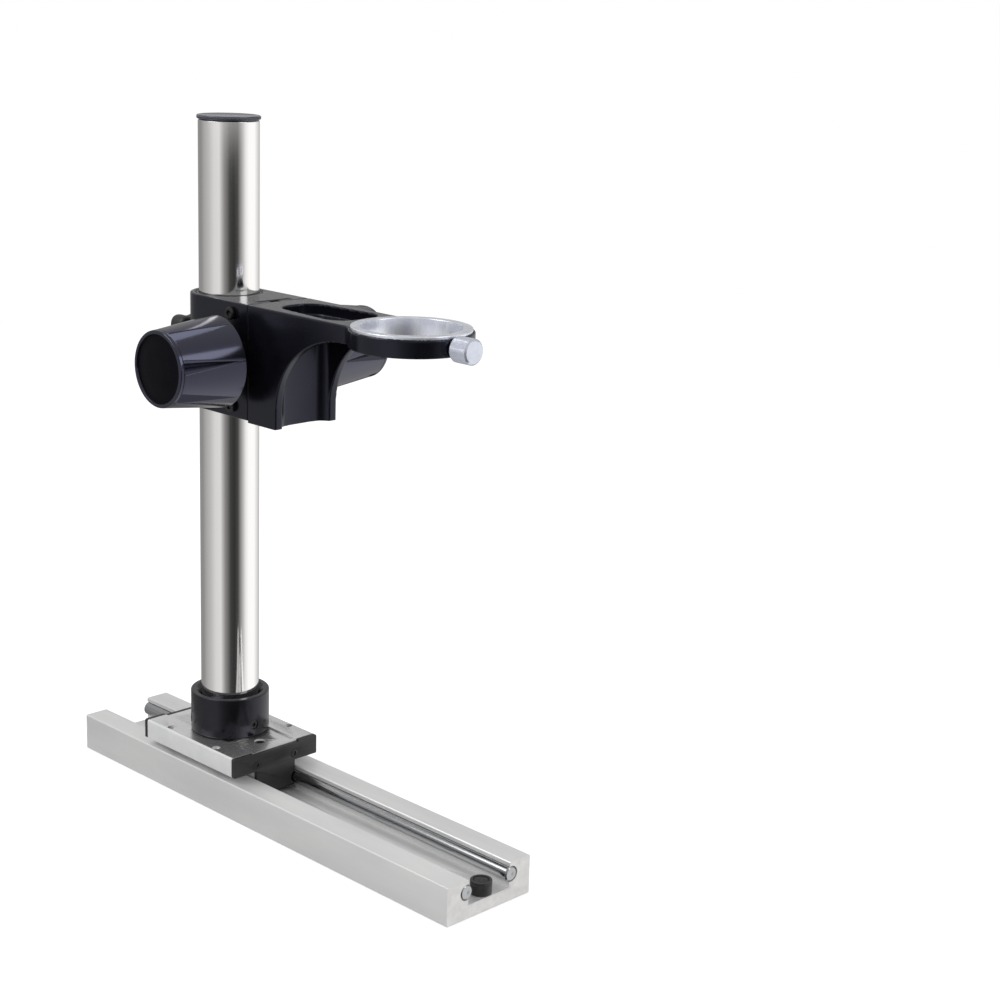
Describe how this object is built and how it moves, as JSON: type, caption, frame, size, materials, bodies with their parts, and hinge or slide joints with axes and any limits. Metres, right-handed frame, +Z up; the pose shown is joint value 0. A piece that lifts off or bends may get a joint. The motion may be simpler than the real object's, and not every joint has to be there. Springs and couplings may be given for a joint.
{
  "type": "sliding column microscope stand",
  "caption": "Column stand on a roller slider rail, with a height block, a rack and pinion focus arm and an open ring that holds a microscope body.",
  "frame": {"origin": "middle of the rail's underside", "axes": "+X along the rail towards its end with the free travel, +Y to the left when seen from behind the column, +Z up the column"},
  "size_m": [0.306, 0.1396, 0.3747],
  "materials": {
    "satin_aluminium": "satin anodised",
    "bright_aluminium": "bright turned",
    "ground_steel": "ground",
    "chrome": "polished",
    "black_oxide": "black oxide",
    "black_enamel": "satin black enamel",
    "black_anodised": "black anodised",
    "black_plastic": "moulded, fine texture",
    "black_rubber": "matte",
    "brass": "satin"
  },
  "bodies": {
    "rail": {"rail_extrusion": "satin_aluminium", "guide_shaft_left": "ground_steel", "guide_shaft_right": "ground_steel", "end_stop_near": "black_rubber", "end_stop_far": "black_rubber", "end_stop_screw_near": "black_oxide", "end_stop_screw_far": "black_oxide"},
    "slider": {"slider_block": "satin_aluminium", "end_cap_near": "black_plastic", "end_cap_far": "black_plastic", "end_cap_screw_near_left": "black_oxide", "end_cap_screw_near_right": "black_oxide", "end_cap_screw_far_left": "black_oxide", "end_cap_screw_far_right": "black_oxide", "roller_axle_1": "black_oxide", "roller_axle_2": "black_oxide", "roller_axle_3": "black_oxide", "roller_axle_4": "black_oxide", "column_collar": "black_anodised", "collar_set_screw_1": "black_oxide", "collar_set_screw_2": "black_oxide", "collar_set_screw_3": "black_oxide", "column_tube": "chrome", "column_cap": "black_plastic", "column_foot_plug": "ground_steel", "column_foot_bolt": "black_oxide"},
    "roller_one": {"roller_1": "ground_steel"},
    "roller_two": {"roller_2": "ground_steel"},
    "roller_three": {"roller_3": "ground_steel"},
    "roller_four": {"roller_4": "ground_steel"},
    "height_bush": {"column_bush": "black_plastic"},
    "height_block": {"mount_block": "black_enamel", "side_screw_left_top": "brass", "side_screw_left_bottom": "brass", "side_screw_right_top": "brass", "side_screw_right_bottom": "brass", "drive_bush_left": "brass", "drive_bush_right": "brass"},
    "height_clamp": {"clamp_stud": "ground_steel", "clamp_knob": "black_plastic"},
    "focus_arm": {"slide_bar": "brass", "focus_rack": "ground_steel", "slide_screw_1": "ground_steel", "slide_screw_2": "ground_steel", "slide_screw_3": "ground_steel", "slide_screw_4": "ground_steel", "arm_casting": "black_enamel", "ring_insert": "bright_aluminium"},
    "focus_drive": {"pinion_shaft": "ground_steel", "focus_knob_left": "black_plastic", "focus_knob_right": "black_plastic"},
    "thumb_screw": {"thumb_screw_stud": "ground_steel", "thumb_screw_head": "bright_aluminium"}
  },
  "joints": [
    {"name": "slider_travel", "type": "slide", "parent": "rail", "child": "slider", "axis": [1, 0, 0], "range_m": [-0.0252, 0.1542]},
    {"name": "roller_one_spin", "type": "hinge", "parent": "slider", "child": "roller_one", "pos_m": [-0.0836, 0.0062, 0.0144], "axis": [0, 0, 1], "continuous": true},
    {"name": "roller_two_spin", "type": "hinge", "parent": "slider", "child": "roller_two", "pos_m": [-0.0681, -0.0062, 0.0144], "axis": [0, 0, 1], "continuous": true},
    {"name": "roller_three_spin", "type": "hinge", "parent": "slider", "child": "roller_three", "pos_m": [-0.0391, -0.0062, 0.0144], "axis": [0, 0, 1], "continuous": true},
    {"name": "roller_four_spin", "type": "hinge", "parent": "slider", "child": "roller_four", "pos_m": [-0.0236, 0.0062, 0.0144], "axis": [0, 0, 1], "continuous": true},
    {"name": "height_travel", "type": "slide", "parent": "slider", "child": "height_bush", "axis": [0, 0, 1], "range_m": [-0.16, 0.088]},
    {"name": "block_swivel", "type": "hinge", "parent": "height_bush", "child": "height_block", "pos_m": [-0.0536, 0, 0.2522], "axis": [0, 0, 1], "continuous": true},
    {"name": "clamp_turn", "type": "hinge", "parent": "height_block", "child": "height_clamp", "pos_m": [-0.0536, 0, 0.2532], "axis": [1, 0, 0], "continuous": true},
    {"name": "focus_travel", "type": "slide", "parent": "height_block", "child": "focus_arm", "axis": [0, 0, 1], "range_m": [-0.02, 0.02]},
    {"name": "focus_turn", "type": "hinge", "parent": "height_block", "child": "focus_drive", "pos_m": [-0.0224, 0, 0.2531], "axis": [0, 1, 0], "range_deg": [-210, 210]},
    {"name": "thumb_turn", "type": "hinge", "parent": "focus_arm", "child": "thumb_screw", "pos_m": [0.0884, 0, 0.2776], "axis": [1, 0, 0], "continuous": true}
  ],
  "couplings": [
    {"joint": "roller_one_spin", "follows": "slider_travel", "rad_per_m": 196.08},
    {"joint": "roller_two_spin", "follows": "slider_travel", "rad_per_m": -196.08},
    {"joint": "roller_three_spin", "follows": "slider_travel", "rad_per_m": -196.08},
    {"joint": "roller_four_spin", "follows": "slider_travel", "rad_per_m": 196.08},
    {"joint": "focus_turn", "follows": "focus_travel", "rad_per_m": -178.57}
  ]
}
